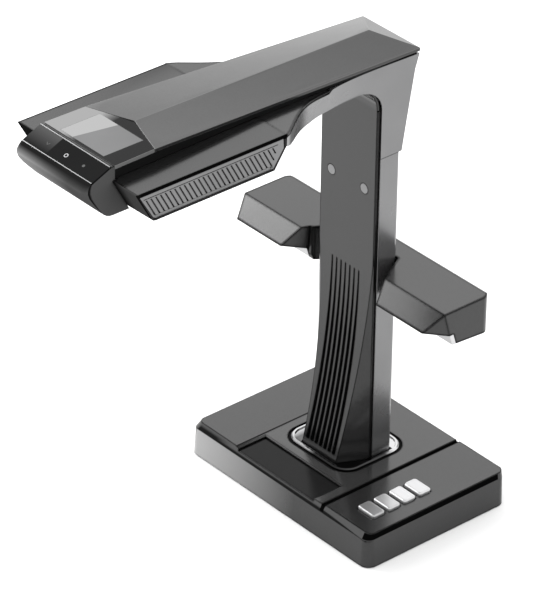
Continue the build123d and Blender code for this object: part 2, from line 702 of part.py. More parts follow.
def arm_spine():
    """Stiff steel tray from the column's head to the camera."""
    tray = block(-20, 20, SPINE_FRONT, FRAME_FRONT - 0.2, SPINE_BOTTOM, SPINE_BOTTOM + 1.6)
    for x in (-20, 18.4):
        tray += block(x, x + 1.6, SPINE_FRONT, FRAME_FRONT - 0.2, SPINE_BOTTOM, SPINE_BOTTOM + 6)
    tray -= post(0, LENS_Y, 300, 400, 11.5)
    for y in (-60, -95, -130):
        tray -= soft_block(-10, 10, y - 9, y + 9, 300, 400, 5)
    return tray


def ribbon_cable():
    """Flat cable from the base, up the channel and along the arm to the head's board."""
    thick = 0.5
    path = [(10.0, FLOOR_TOP + 12), (10.0, 364.0), (-150.0, 364.0)]
    up = block(-8, 8, path[0][0], path[0][0] + thick, path[0][1], path[1][1])
    over = block(-8, 8, path[2][0], path[0][0] + thick, path[1][1] - thick, path[1][1])
    return up + over


# ---------------------------------------------------------------- neck and arm shells
def neck_side():
    """One pale cheek: from the column seam, over the arch to where the flare starts."""
    rise = ARCH_UNDERSIDE - ARCH_RADIUS
    lower = arc((PANEL_FACE - ARCH_RADIUS, rise), (ARCH_RADIUS + SEAM_BACK + 1, ARCH_RADIUS - 0.4), 0, 90, 8)
    front = [(-38.0, 351.0), (-51.9, 349.3)]
    top = [(-51.9, neck_top(-51.9)), (ROOF_BACK_Y - 0.4, neck_top(ROOF_BACK_Y))]
    back = [(34.0, 354.7), (29.8, 330.4), (25.7, 306.0), (COLUMN_BACK + 0.6, NECK_SEAM)]
    profile = [(SEAM_BACK, NECK_SEAM)] + lower + front + top + back
    return sideways(profile, COLUMN_HALF - CHEEK_WALL, COLUMN_HALF)


def neck_back():
    """Back wall that joins the two cheeks."""
    outer = [(COLUMN_BACK + 0.6, NECK_SEAM), (25.7, 306.0), (29.8, 330.4), (34.0, 354.7),
             (ROOF_BACK_Y - 0.4, neck_top(ROOF_BACK_Y))]
    inner = [(y - SHELL_WALL - 0.2, z) for y, z in outer]
    inner.reverse()
    return sideways(outer + inner, -COLUMN_HALF + 0.1, COLUMN_HALF - 0.1)


def flare_row(y):
    """Top half width, low half width and low edge height of the neck flare at y."""
    rows = FLARE_SECTIONS
    index = 0
    while index < len(rows) - 2 and y < rows[index + 1][0]:
        index += 1
    before = rows[max(0, index - 1)]
    first, second = rows[index], rows[index + 1]
    after = rows[min(len(rows) - 1, index + 2)]
    t = (y - first[0]) / (second[0] - first[0])
    values = []
    for column in (1, 2, 3):
        gap = second[0] - first[0]
        slope_a = (second[column] - before[column]) / (second[0] - before[0]) * gap
        slope_b = (after[column] - first[column]) / (after[0] - first[0]) * gap
        a, b = first[column], second[column]
        values.append(a * (1 + 2 * t) * (1 - t) ** 2 + slope_a * t * (1 - t) ** 2
                      + b * t * t * (3 - 2 * t) + slope_b * t * t * (t - 1))
    return values


def flare_section(y):
    top_half, low_half, low_z = flare_row(y)
    sink = LID_THICKNESS + LID_GASKET
    top = neck_top(y) - 0.05 - sink * min(1.0, max(0.0, (LID_START + 3.0 - y) / 3.0))
    inner = COLUMN_HALF - CHEEK_WALL + 0.1
    inner_z = min(max(arm_underside(y) + 0.2, 346.5), low_z)
    return [(inner, y, top), (top_half, y, top), (low_half, y, low_z), (inner, y, inner_z)]


def arm_underside(y):
    line = [(PANEL_FACE - ARCH_RADIUS, ARCH_UNDERSIDE)] + list(ARM_UNDERSIDE)
    for back, front in zip(line, line[1:]):
        if y >= front[0]:
            return along(y, back, front)
    return line[-1][1]


def neck_flare():
    """Horn that widens the neck smoothly into the rear of a pod."""
    return ruled(*[flare_section(y) for y in spread(FLARE_SECTIONS[0][0], FLARE_SECTIONS[-1][0], 30)])


def neck_shell():
    cheeks = both_sides(neck_side())
    horns = both_sides(neck_flare())
    return cheeks + neck_back() + horns


def roof_section(y, inset):
    half = eave_half(y) - inset
    edge = eave_z(y)
    low = edge - ROOF_EDGE - (1 if inset else 0)
    return [(-half, y, low), (-half, y, edge - inset), (0, y, ridge_z(y) - inset),
            (half, y, edge - inset), (half, y, low)]


def hip_cut():
    """Wedge behind the sloped triangular end of the roof."""
    top = (RIDGE_BACK_Y, RIDGE_BACK_Z)
    slope = (ROOF_BACK_Y - top[0]) / (top[1] - 371.0)
    high = 390.0
    low = 360.0
    profile = [(top[0] + (top[1] - high) * slope, high), (80.0, high), (80.0, low),
               (ROOF_BACK_Y, low), (ROOF_BACK_Y, 371.0)]
    return sideways(profile, -50, 50)


def bezel_outline(grow):
    front_half = BEZEL_FRONT_HALF + grow
    back_half = eave_half(BEZEL_BACK_Y) + grow
    front = BEZEL_FRONT_Y - 2 * grow
    back = BEZEL_BACK_Y + grow * 0.5
    return [(-front_half, front), (front_half, front), (back_half, back), (0, BEZEL_APEX_Y + grow),
            (-back_half, back)]


def arm_top_cover():
    """Long hipped roof of the arm; its front end is notched round the display."""
    front = BEZEL_BACK_Y - 1
    cover = ruled(roof_section(60, 0), roof_section(front, 0)) - hip_cut()
    hollow = ruled(roof_section(ROOF_BACK_Y - 3.0, ROOF_WALL), roof_section(front - 2, ROOF_WALL))
    cover -= hollow - Pos(0, -3.0, -1.4) * hip_cut()
    return cover - upright(bezel_outline(0.15), 370, 390)


def arm_band():
    """Black recessed band between the roof and the shells below it."""
    back = ROOF_BACK_Y - 2.2
    front = BEZEL_FRONT_Y + 0.4
    rows = []
    for y in (back, POD_BACK, POD_BACK - 0.1, BEZEL_BACK_Y, front):
        half = min(eave_half(y), BEZEL_FRONT_HALF) - BAND_INSET
        low = neck_top(y) + 0.05 if y >= POD_BACK else POD_TOP + 0.45
        high = min(eave_z(y) - ROOF_EDGE, 379.0)
        rows.append([(-half, y, low), (half, y, low), (half, y, high), (-half, y, high)])
    inner = eave_half(back) - BAND_INSET - 2.0
    band = ruled(*rows) - block(-inner, inner, front + 2, back - 2, 340, 400)
    seal = flare_seal()
    return group([band, seal, mirror(seal, about=Plane.YZ)])


def flare_seal():
    """Dark strip in the seam between the pod's lid and the pale flare of the neck."""
    rows = []
    for y in spread(LID_START - 5.0, POD_BACK + 0.2, 18):
        high = neck_top(y) - LID_THICKNESS - 0.03
        low = high - LID_GASKET + 0.06
        edge = flare_row(y)[0] - 0.2
        inner = LID_INNER + 2.4
        rows.append([(inner, y, low), (edge, y, low), (edge, y, high), (inner, y, high)])
    return ruled(*rows)


# ---------------------------------------------------------------- display and controls
def display_bezel():
    bezel = upright(bezel_outline(0), 379.2, 382.0)
    bezel -= block(-SCREEN_HALF, SCREEN_HALF, *SCREEN_YS, 381.3, 383)
    return bezel - block(-SCREEN_HALF + 1, SCREEN_HALF - 1, SCREEN_YS[0] + 1, SCREEN_YS[1] - 1, 379, 383)


def screen_block(inset, low, high):
    half = SCREEN_HALF - inset
    return block(-half, half, SCREEN_YS[0] + inset, SCREEN_YS[1] - inset, low, high)


def lcd_window():
    return screen_block(0.1, 381.35, 381.95)


def lcd_module():
    return screen_block(1.2, 379.3, 381.25)


def strip_point(part, depth):
    """Point (y, z) on the sloped control strip: part runs from back to front."""
    dy = STRIP_FRONT[0] - STRIP_BACK[0]
    dz = STRIP_FRONT[1] - STRIP_BACK[1]
    length = math.hypot(dy, dz)
    y = STRIP_BACK[0] + dy * part - depth * dz / length
    z = STRIP_BACK[1] + dz * part + depth * dy / length
    return y, z


def strip_slab(first, last, top, bottom, half):
    corners = [strip_point(first, top), strip_point(last, top), strip_point(last, bottom),
               strip_point(first, bottom)]
    return sideways(corners, -half, half)


def control_strip():
    return strip_slab(0.0, 1.0, 0.0, 1.4, STRIP_HALF)


def chrome_trims():
    """Bright lines along the strip's rear and front edges."""
    rear = strip_slab(-0.05, -0.005, -0.15, 1.4, STRIP_HALF)
    front = strip_slab(1.005, 1.045, -0.15, 1.4, STRIP_HALF)
    return group([rear, front])


def head_boards():
    """Touch board under the control strip, and the camera's sensor board."""
    touch = strip_slab(0.08, 0.92, 1.45, 2.6, STRIP_HALF - 4)
    sensor = block(-17, 17, LENS_Y - 15, LENS_Y + 15, HEAD_BOTTOM + 22.1, HEAD_BOTTOM + 23.7)
    return group([touch, sensor])


def nose_profile(x, part):
    """Side outline of the nose at x; part blends its front from the end shape to the middle."""
    front = []
    for (end_y, end_z), (middle_y, middle_z) in zip(NOSE_END, NOSE_MIDDLE):
        front.append((end_y + (middle_y - end_y) * part, end_z + (middle_z - end_z) * part))
    back = BEZEL_FRONT_Y - 0.2
    top = [(back, 382.0 - 0.6 * (1 - part)), (STRIP_BACK[0] + 1.0, 382.0 - 0.6 * (1 - part))]
    return [(x, y, z) for y, z in top + front + list(NOSE_CHIN)]


def nose_body():
    """Solid nose whose upright front corners are rounded."""
    sections = []
    for step in (0.0, 0.25, 0.6, 1.0):
        x = -NOSE_HALF + NOSE_CORNER * (1 - math.cos(step * math.pi / 2))
        sections.append(nose_profile(x, math.sin(step * math.pi / 2)))
    for section in sections[::-1]:
        sections.append([(-x, y, z) for x, y, z in section])
    return ruled(*sections)


def nose_cover():
    """Rounded front of the head: cheeks, chin and brow in one moulding."""
    cover = nose_body()
    cover -= sideways(NOSE_CAVITY, -NOSE_HALF + 3.0, NOSE_HALF - 3.0)
    bed = [strip_point(*corner) for corner in ((-0.06, -1.0), (1.05, -1.0), (1.05, 1.5), (-0.06, 1.5))]
    cover -= sideways(bed, -STRIP_HALF - 0.5, STRIP_HALF + 0.5)
    cover -= strip_slab(0.04, 0.96, 1.0, 4.0, STRIP_HALF - 3)
    cover -= block(-50, 50, -251.0, -230, 371.4, 400)
    return cover


# ---------------------------------------------------------------- pods
def pod_section(y, low_z, inset):
    return [(POD_INNER, y, low_z[0] + inset), (POD_INNER, y, POD_TOP + 0.3 - inset),
            (POD_HALF - inset, y, POD_TOP - inset), (POD_HALF - inset, y, low_z[1] + inset)]


def pod_body(inset):
    """Wing between the neck flare and the front, tapering at both ends."""
    step = 0.9 * inset
    tip = POD_TOP - 0.6 - 2 * inset
    rows = [(POD_BACK - step - 0.1, (352.0, POD_REAR_LOW)), (POD_BACK_LOW - step, (345.4, POD_BOTTOM))]
    rows += [(POD_FRONT_LOW + step + dy, (345.4 + dz, POD_BOTTOM + dz)) for dy, dz in POD_TOE]
    rows.append((POD_FRONT + 1.8 * inset, (tip, tip)))
    return ruled(*[pod_section(y, low, inset) for y, low in rows])


def pod_lid():
    """Flat top of the pod, carried back over the neck to the edge of the flare."""
    rows = []
    for y in spread(LID_START, POD_BACK - 0.5, 18):
        top = neck_top(y)
        edge = flare_row(y)[0] + 0.1
        rows.append([(LID_INNER, y, top - LID_THICKNESS), (edge, y, top - LID_THICKNESS), (edge, y, top),
                     (LID_INNER, y, top)])
    return ruled(*rows)


def side_outline(inset):
    """Trapezium (y, z) of the pod's outer side, its toe cut off."""
    high = POD_TOP - 1.2 - inset
    low = POD_BOTTOM + 0.8 + inset
    toe = POD_FRONT_LOW + 0.7 * inset + 0.4
    return [(POD_BACK - 2.6 * inset, high), (POD_FRONT + 1.6 * inset + 0.6, high),
            (toe - 0.8, low + 1.3), (toe + 1.5, low), (POD_BACK_LOW - 0.9 * inset, low),
            (POD_BACK - 2.2 * inset, POD_REAR_LOW - 0.4)]


def pod_shell():
    shell = pod_body(0)
    shell -= pod_body(2.0) & block(POD_INNER + 1.8, 80, -260, -100, 340, 380)
    shell += block(POD_INNER - 6, POD_INNER + 0.5, -249.4, POD_BACK - 0.1, POD_TOP - 1.6, POD_TOP + 0.3)
    shell += pod_lid()
    shell -= sideways(side_outline(0.9), POD_HALF - 2.2, POD_HALF + 1)
    shell -= lamp_block(0.5, 340, 349)
    return shell


def pod_grille():
    """Side panel of a pod: a smooth border round a field of slanted ribs."""
    panel = sideways(side_outline(1.1), POD_HALF - 2.1, POD_HALF - 0.1)
    lean = (POD_FRONT_LOW - POD_FRONT) / (POD_TOP - POD_BOTTOM)
    shift = lean * (RIB_HIGH - RIB_LOW)
    first = POD_FRONT + lean * (POD_TOP - RIB_HIGH) + 4.0
    last = POD_BACK - 9.0
    count = int((last - first) / RIB_PITCH)
    for index in range(count):
        y = first + index * RIB_PITCH
        room = min(1.0, (last - y) / (shift + RIB_PITCH))
        low = RIB_HIGH - (RIB_HIGH - RIB_LOW) * room
        slant = shift * room
        groove = [(y, RIB_HIGH), (y + RIB_GROOVE, RIB_HIGH), (y + RIB_GROOVE + slant, low), (y + slant, low)]
        panel -= sideways(groove, POD_HALF - 1.3, POD_HALF + 1)
    low, high = RIB_HIGH + 0.9, RIB_HIGH + 1.4
    panel -= block(POD_HALF - 0.7, POD_HALF + 1, first - 1.6, last + 1.0, low, high)
    ledge_front = POD_FRONT + lean * (POD_TOP - RIB_LOW) + 5.4
    high, low = RIB_LOW - 0.3, RIB_LOW - 2.4
    ledge = [(ledge_front, high), (POD_BACK_LOW - 3.0, high), (POD_BACK_LOW - 3.6, low),
             (ledge_front + 1.2, low)]
    panel -= sideways(ledge, POD_HALF - 0.6, POD_HALF + 1)
    return panel


def lamp_block(grow, z0, z1):
    return block(LAMP_MIDDLE - LAMP_HALF - grow, LAMP_MIDDLE + LAMP_HALF + grow,
                 LAMP_FRONT - 1 - grow, LAMP_BACK + 1 + grow, z0, z1)


def led_boards():
    """One lighting board per pod, with its row of lamps."""
    boards = []
    for side in (-1, 1):
        middle = side * LAMP_MIDDLE
        boards.append(block(middle - LAMP_HALF, middle + LAMP_HALF, LAMP_FRONT, LAMP_BACK, 349.2, 350.4))
        for y in spread(LAMP_FRONT + 5, LAMP_BACK - 5, 12):
            boards.append(block(middle - 1.5, middle + 1.5, y - 1.5, y + 1.5, 348.4, 349.2))
    return group(boards)


def led_window():
    return lamp_block(0.3, 345.6, 347.2)


# ---------------------------------------------------------------- head underside
def head_lower_cover():
    """Flat tray under the middle of the head, with the camera's opening."""
    half = POD_INNER - 0.2
    tray = block(-half, half, -236.0, POD_BACK, HEAD_BOTTOM - 1.0, HEAD_BOTTOM + 1.2)
    for x in (-half, half - 1.8):
        tray += block(x, x + 1.8, -236.0, POD_BACK, HEAD_BOTTOM - 1.0, HEAD_BOTTOM + 8)
    tray -= post(0, LENS_Y, 300, 400, 16.2)
    for x in LASER_XS:
        tray -= block(x - 4.2, x + 4.2, LASER_Y - 3.2, LASER_Y + 3.2, 300, 360)
    for x, y in HEAD_SCREWS:
        tray -= post(x, y, 300, 360, 1.4)
        tray -= post(x, y, 300, HEAD_BOTTOM, 2.6)
    return tray


def camera_housing():
    tube = post(0, LENS_Y, HEAD_BOTTOM - 2.4, HEAD_BOTTOM + 10, 16.0)
    tube -= post(0, LENS_Y, HEAD_BOTTOM - 3, HEAD_BOTTOM + 11, 11.2)
    cone = Pos(0, LENS_Y, HEAD_BOTTOM - 0.9) * Cone(14.4, 11.2, 3.0)
    return tube - cone


def lens_barrel():
    barrel = post(0, LENS_Y, HEAD_BOTTOM + 1.6, HEAD_BOTTOM + 22, 9.0)
    barrel += post(0, LENS_Y, HEAD_BOTTOM + 6, HEAD_BOTTOM + 10, 10.9)
    return barrel - post(0, LENS_Y, HEAD_BOTTOM, HEAD_BOTTOM + 20, 7.0)


def lens_glass():
    ball = Pos(0, LENS_Y, HEAD_BOTTOM + 16.0) * Sphere(13.4)
    return ball & post(0, LENS_Y, HEAD_BOTTOM + 2.0, HEAD_BOTTOM + 7.6, 6.9)


def laser_modules():
    modules = []
    for x in LASER_XS:
        body = block(x - 4.0, x + 4.0, LASER_Y - 3.0, LASER_Y + 3.0, HEAD_BOTTOM - 1.4, HEAD_BOTTOM + 9)
        modules.append(body - post(x, LASER_Y, HEAD_BOTTOM - 2, HEAD_BOTTOM + 0.4, 1.9))
    return group(modules)


# ---------------------------------------------------------------- side light
def light_profile():
    """Section (y, z) of the side light, from the hood's top edge round to the rear."""
    back = LIGHT_BACK
    return [(HOOD_TOP_Y, LIGHT_TOP), HOOD_LOW, WINDOW_TOP, WINDOW_LOW, LIGHT_REAR_LOW, (back - 1.2, 168.8),
            (back, 172.0), (back, LIGHT_TOP - 2.6), (back - 0.8, LIGHT_TOP - 0.8), (back - 2.6, LIGHT_TOP)]


def recess_outline():
    return [(-RECESS_HALF, -40), (-RECESS_HALF, HOOD_TOP_Y - 1), (-COLUMN_HALF - 0.6, PAD_FACE),
            (COLUMN_HALF + 0.6, PAD_FACE), (RECESS_HALF, HOOD_TOP_Y - 1), (RECESS_HALF, -40)]


def inner_end_x(y, z):
    """Where the slanted inner end of the right wing lies at (y, z)."""
    p = (HOOD_TOP_Y, LIGHT_TOP)
    (y1, z1), (y2, z2) = HOOD_LOW, WINDOW_TOP
    a1, b1, c1 = y1 - p[0], z1 - p[1], HOOD_INNER_HALF - RECESS_HALF
    a2, b2, c2 = y2 - p[0], z2 - p[1], -0.5
    scale = a1 * b2 - a2 * b1
    along_y = (c1 * b2 - c2 * b1) / scale
    along_z = (a1 * c2 - a2 * c1) / scale
    return RECESS_HALF + along_y * (y - p[0]) + along_z * (z - p[1])


def inner_end_cut(side):
    """Wedge that slants the inner end of one wing's hood."""
    sections = []
    for z in (150.0, 215.0):
        front = side * inner_end_x(-45, z)
        back = side * inner_end_x(2.5, z)
        sections.append([(0, -45, z), (front, -45, z), (back, 2.5, z), (0, 2.5, z)])
    return ruled(*sections)


def light_body():
    bar = sideways(light_profile(), -LIGHT_HALF, LIGHT_HALF)
    bar &= soft_block(-LIGHT_HALF, LIGHT_HALF, -60, LIGHT_BACK, 150, 210, LIGHT_CORNER)
    bar -= upright(recess_outline(), 150, 210)
    return bar - inner_end_cut(1) - inner_end_cut(-1)


def trim_ends(shape, inset):
    """Slant the outer ends of the hoods."""
    for side in (1, -1):
        a = Vector(side * (LIGHT_HALF - inset), HOOD_TOP_Y, LIGHT_TOP)
        b = Vector(side * (HOOD_END_HALF - inset), HOOD_LOW[0], HOOD_LOW[1])
        c = Vector(side * (LIGHT_HALF - inset), WINDOW_TOP[0], WINDOW_TOP[1])
        normal = (a - b).cross(c - b)
        if normal.X * side < 0:
            normal = normal * -1
        plane = Plane(origin=a, z_dir=normal)
        shape = split(shape, bisect_by=plane, keep=Keep.BOTTOM)
    return shape


def window_bar(grow, x0, x1):
    """Clear bar along the low front edge of a wing."""
    (y0, z0), (y1, z1) = WINDOW_TOP, WINDOW_LOW
    thick = WINDOW_THICKNESS + grow
    low = z1 - 3 * grow
    corners = [(y0 - 3 * grow, z0 + grow), (y1 - 3 * grow, low), (y1 + thick, low - 0.3), (y0 + thick, z0 + grow)]
    return sideways(corners, x0, x1)


def side_light_housing():
    body = trim_ends(light_body(), 0)
    for side in (1, -1):
        x0, x1 = sorted((side * (WINDOW_INNER - 0.05), side * (LIGHT_HALF + 1)))
        body -= window_bar(0.05, x0, x1)
        x0, x1 = sorted((side * 57.0, side * (LIGHT_HALF - 4.0)))
        body -= trim_ends(sideways(LIGHT_CAVITY, x0, x1), 2.4)
        x0, x1 = sorted((side * 59.0, side * (LIGHT_HALF - 6.0)))
        body -= block(x0, x1, 4.0, 9.0, 172.4, 177.6)
    for x in MAGNET_XS:
        body -= peg_y(x, MAGNET_Z, PAD_FACE, PAD_FACE + 5.2, 4.1)
    return body


def side_window():
    return window_bar(0.0, WINDOW_INNER, LIGHT_HALF)


def side_led_boards():
    """Upright lighting board behind each window, with its lamps."""
    boards = []
    for side in (-1, 1):
        x0, x1 = sorted((side * 60.0, side * 104.0))
        boards.append(block(x0, x1, 10.6, 11.8, 172.4, 178.6))
        for x in spread(x0 + 3, x1 - 3, 9):
            boards.append(block(x - 1.4, x + 1.4, 9.8, 10.6, 173.6, 176.4))
    return group(boards)


def side_pad():
    """Rubber lining where the light rests against the column's back."""
    pad = block(-COLUMN_HALF + 1.5, COLUMN_HALF - 1.5, PAD_FACE - 0.35, PAD_FACE, 171.0, LIGHT_TOP - 2)
    for x in MAGNET_XS:
        pad -= peg_y(x, MAGNET_Z, PAD_FACE - 3, PAD_FACE + 1, 4.1)
    return pad


def side_magnets():
    magnets = []
    for x in MAGNET_XS:
        magnets.append(peg_y(x, MAGNET_Z, PAD_FACE - 0.1, PAD_FACE + 5.0, 4.0))
    return group(magnets)


# ---------------------------------------------------------------- output
NODES = {
    "base_top_cover": base_top_cover,
    "base_bottom_plate": base_bottom_plate,
    "foot_ring": foot_ring,
    "case_screws": case_screws,
    "ballast_plate": ballast_plate,
    "main_board": main_board,
    "board_chips": board_chips,
    "board_posts": board_posts,
    "name_plate": name_plate,
    "column_collar": column_collar,
    "collar_gasket": collar_gasket,
    "button_board": button_board,
    "button_switches": button_switches,
    "signal_ports": signal_ports,
    "port_contacts": port_contacts,
    "power_jack": power_jack,
    "rocker_frame": rocker_frame,
    "power_rocker": power_rocker,
    "column_front_cover": column_front_cover,
    "vent_screen": vent_screen,
    "screw_caps": screw_caps,
    "seam_strips": seam_strips,
    "column_rear_shell": column_rear_shell,
    "column_frame": column_frame,
    "frame_bolts": frame_bolts,
    "arm_spine": arm_spine,
    "ribbon_cable": ribbon_cable,
    "neck_shell": neck_shell,
    "arm_top_cover": arm_top_cover,
    "arm_band": arm_band,
    "display_bezel": display_bezel,
    "lcd_window": lcd_window,
    "lcd_module": lcd_module,
    "control_strip": control_strip,
    "chrome_trims": chrome_trims,
    "head_boards": head_boards,
    "nose_cover": nose_cover,
    "led_boards": led_boards,
    "head_lower_cover": head_lower_cover,
    "camera_housing": camera_housing,
    "lens_barrel": lens_barrel,
    "lens_glass": lens_glass,
    "laser_modules": laser_modules,
    "side_light_housing": side_light_housing,
    "side_led_boards": side_led_boards,
    "side_pad": side_pad,
    "side_magnets": side_magnets,
}

PAIRED_NODES = {
    "pod_shell": pod_shell,
    "pod_grille": pod_grille,
    "led_window": led_window,
    "side_window": side_window,
}


def build():
    os.makedirs("parts", exist_ok=True)
    for name, maker in NODES.items():
        write(name, maker())
    for number, y in enumerate(BUTTON_YS, start=1):
        write(f"function_button_{number}", function_button(y))
    for name, maker in PAIRED_NODES.items():
        shape = maker()
        write(f"{name}_right", shape)
        write(f"{name}_left", mirror(shape, about=Plane.YZ))


build()
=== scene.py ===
import json
import math

import bpy
from mathutils import Matrix, Vector


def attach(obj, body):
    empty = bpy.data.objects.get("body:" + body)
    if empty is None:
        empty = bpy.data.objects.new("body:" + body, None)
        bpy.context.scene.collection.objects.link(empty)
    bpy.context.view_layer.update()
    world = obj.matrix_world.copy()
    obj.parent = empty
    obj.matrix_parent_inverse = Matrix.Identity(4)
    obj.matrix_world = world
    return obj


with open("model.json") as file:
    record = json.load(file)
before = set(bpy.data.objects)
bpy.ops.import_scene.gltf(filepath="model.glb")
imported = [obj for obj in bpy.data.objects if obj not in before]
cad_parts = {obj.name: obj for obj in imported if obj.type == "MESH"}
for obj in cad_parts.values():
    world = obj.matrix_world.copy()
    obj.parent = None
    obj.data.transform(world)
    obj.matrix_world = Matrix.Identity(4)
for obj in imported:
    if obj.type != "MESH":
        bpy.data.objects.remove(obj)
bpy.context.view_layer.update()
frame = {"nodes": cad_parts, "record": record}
nodes = frame["nodes"]
slots = {part["node"]: part["material_slot"] for part in frame["record"]["subparts"]}

MM = 0.001

# camera, turned about the object's origin, with its focal length and image height in image rows
AZIMUTH = math.radians(49.19)
ELEVATION = math.radians(32.07)
ROLL = math.radians(0.81)
DISTANCE = 3393.4 * MM
SLIDE_RIGHT = -55.2 * MM
SLIDE_UP = 126.1 * MM
FOCAL_LENGTH = 4424.6
IMAGE_HEIGHT = 616
SENSOR = 36

# light and floor, in metres and watts
TENT_STRENGTH = 2.05
LAMPS = (
    dict(name="key_left", place=(-1.8, -0.6, 1.5), target=(0, -0.1, 0.25), size=(1.0, 1.0), watts=30),
    dict(name="hood_card", place=(-0.93, -0.66, 0.88), target=(-0.08, -0.01, 0.19), size=(0.34, 0.34),
         watts=1.3),
)
FLOOR_REACH = 12
FLOOR_GREY = 0.66

# surfaces: where the masks and noise textures are cut, the grain's depth in millimetres, and the tones of
# painted shade, of darkened edge lines and of painted edge highlights
MASK_SAMPLES = 6
FLAT_COSINE = 0.9993
EDGE_COSINE = 0.985
DEEP_LIGHT = 0.35
OPEN_LIGHT = 0.75
CLOUD_SCALE = 14
CLOUD_DETAIL = 4
GRAIN_DETAIL = 3
GRAIN_DEPTH = 0.05
TONE_NOISE = (0.35, 0.65)
GLOSS_NOISE = (0.3, 0.7)
GLOSS_SPREAD = 0.08
ROUGH_SPREAD = 0.15
COAT_ROUGHNESS = 0.08
BLUE_CAST = 1.01
SHADE_TONE = 0.0015
CREVICE_SHADE_TONE = 0.001
EDGE_DARK_SHARE = 0.1
EDGE_HIGHLIGHT_GAIN = 2
EDGE_HIGHLIGHT_LIFT = 0.06

# printed marks: height above the control strip, the strip's rear and front edges, and the chevron's
# points as (x, along the strip's slope), in millimetres
MARK_LIFT = 0.06
STRIP_REAR = Vector((0, -254.9, 382.0))
STRIP_FRONT = Vector((0, -270.4, 375.3))
CHEVRON = [(-20.6, 8.1), (-19.0, 9.7), (-17.4, 8.1)]
CHEVRON_STROKE = 0.7

# edges: distance within which points are welded, and the shallowest edge that is rounded, in degrees
WELD_MM = 0.005
EDGE_ANGLE = 28


# ---------------------------------------------------------------- camera
def make_camera():
    """Camera at the product shot's angle: right of the front, looking down."""
    back = Vector((math.sin(AZIMUTH) * math.cos(ELEVATION), -math.cos(AZIMUTH) * math.cos(ELEVATION),
                   math.sin(ELEVATION)))
    level_right = Vector((math.cos(AZIMUTH), math.sin(AZIMUTH), 0))
    level_up = back.cross(level_right)
    right = level_right * math.cos(ROLL) + level_up * math.sin(ROLL)
    up = level_up * math.cos(ROLL) - level_right * math.sin(ROLL)
    data = bpy.data.cameras.new("camera")
    data.sensor_width = SENSOR
    data.lens = FOCAL_LENGTH / IMAGE_HEIGHT * SENSOR
    data.clip_start = 0.1
    data.clip_end = 60
    camera = bpy.data.objects.new("camera", data)
    place = back * DISTANCE + right * SLIDE_RIGHT + up * SLIDE_UP
    turn = Matrix((right, up, back)).transposed()
    camera.matrix_world = Matrix.Translation(place) @ turn.to_4x4()
    bpy.context.scene.collection.objects.link(camera)
    bpy.context.scene.camera = camera


# ---------------------------------------------------------------- light and floor
def area_light(name, place, target, size, watts):
    """Rectangular soft light at place, facing target."""
    data = bpy.data.lights.new(name, "AREA")
    data.shape = "RECTANGLE"
    data.size, data.size_y = size
    data.energy = watts
    lamp = bpy.data.objects.new(name, data)
    lamp.location = place
    aim = Vector(target) - Vector(place)
    lamp.rotation_euler = aim.to_track_quat("-Z", "Y").to_euler()
    bpy.context.scene.collection.objects.link(lamp)


def make_studio():
    """White tent over pale paper, a soft lamp at the left, and a small one aimed at the side light."""
    scene = bpy.context.scene
    scene.view_settings.view_transform = "Standard"
    world = bpy.data.worlds.new("studio")
    scene.world = world
    world.use_nodes = True
    back = world.node_tree.nodes["Background"]
    back.inputs["Color"].default_value = (1, 1, 1, 1)
    back.inputs["Strength"].default_value = TENT_STRENGTH
    for lamp in LAMPS:
        area_light(**lamp)
    mesh = bpy.data.meshes.new("studio_floor")
    corners = [(x * FLOOR_REACH, y * FLOOR_REACH, 0) for x, y in ((-1, -1), (1, -1), (1, 1), (-1, 1))]
    mesh.from_pydata(corners, [], [(0, 1, 2, 3)])
    floor = bpy.data.objects.new("studio_floor", mesh)
    scene.collection.objects.link(floor)
    material = bpy.data.materials.new("floor_paper")
    material.use_nodes = True
    shader = material.node_tree.nodes["Principled BSDF"]
    shader.inputs["Base Color"].default_value = (FLOOR_GREY, FLOOR_GREY, FLOOR_GREY, 1)
    shader.inputs["Roughness"].default_value = 0.9
    shader.inputs["Specular IOR Level"].default_value = 0.1
    floor.data.materials.append(material)


# ---------------------------------------------------------------- shader helpers
def node(tree, kind, **values):
    """New shader node with its settings."""
    made = tree.nodes.new(kind)
    for key, value in values.items():
        setattr(made, key, value)
    return made


def maths(tree, operation, first, second):
    """Math node on two sockets or numbers."""
    made = node(tree, "ShaderNodeMath", operation=operation)
    for slot, value in zip(made.inputs, (first, second)):
        if isinstance(value, (int, float)):
            slot.default_value = value
        else:
            tree.links.new(value, slot)
    return made.outputs[0]


def remap(tree, value, low, high, start=0.0, end=1.0):
    """Clamped linear change of a socket from low..high to start..end."""
    made = node(tree, "ShaderNodeMapRange")
    for key, number in (("From Min", low), ("From Max", high), ("To Min", start), ("To Max", end)):
        made.inputs[key].default_value = number
    tree.links.new(value, made.inputs["Value"])
    return made.outputs["Result"]


def blend(tree, factor, first, second):
    """Colour mix of two sockets or greys."""
    mix = node(tree, "ShaderNodeMix", data_type="RGBA")
    tree.links.new(factor, mix.inputs["Factor"])
    for key, value in (("A", first), ("B", second)):
        if isinstance(value, (int, float)):
            mix.inputs[key].default_value = (value, value, value, 1)
        elif isinstance(value, (list, tuple)):
            mix.inputs[key].default_value = value
        else:
            tree.links.new(value, mix.inputs[key])
    return mix.outputs["Result"]


def places(tree):
    """Object coordinates, and their x, y and z in millimetres."""
    coords = node(tree, "ShaderNodeTexCoord")
    scaled = node(tree, "ShaderNodeVectorMath", operation="SCALE")
    scaled.inputs["Scale"].default_value = 1 / MM
    tree.links.new(coords.outputs["Object"], scaled.inputs[0])
    split = node(tree, "ShaderNodeSeparateXYZ")
    tree.links.new(scaled.outputs[0], split.inputs[0])
    return coords.outputs["Object"], split.outputs[0], split.outputs[1], split.outputs[2]


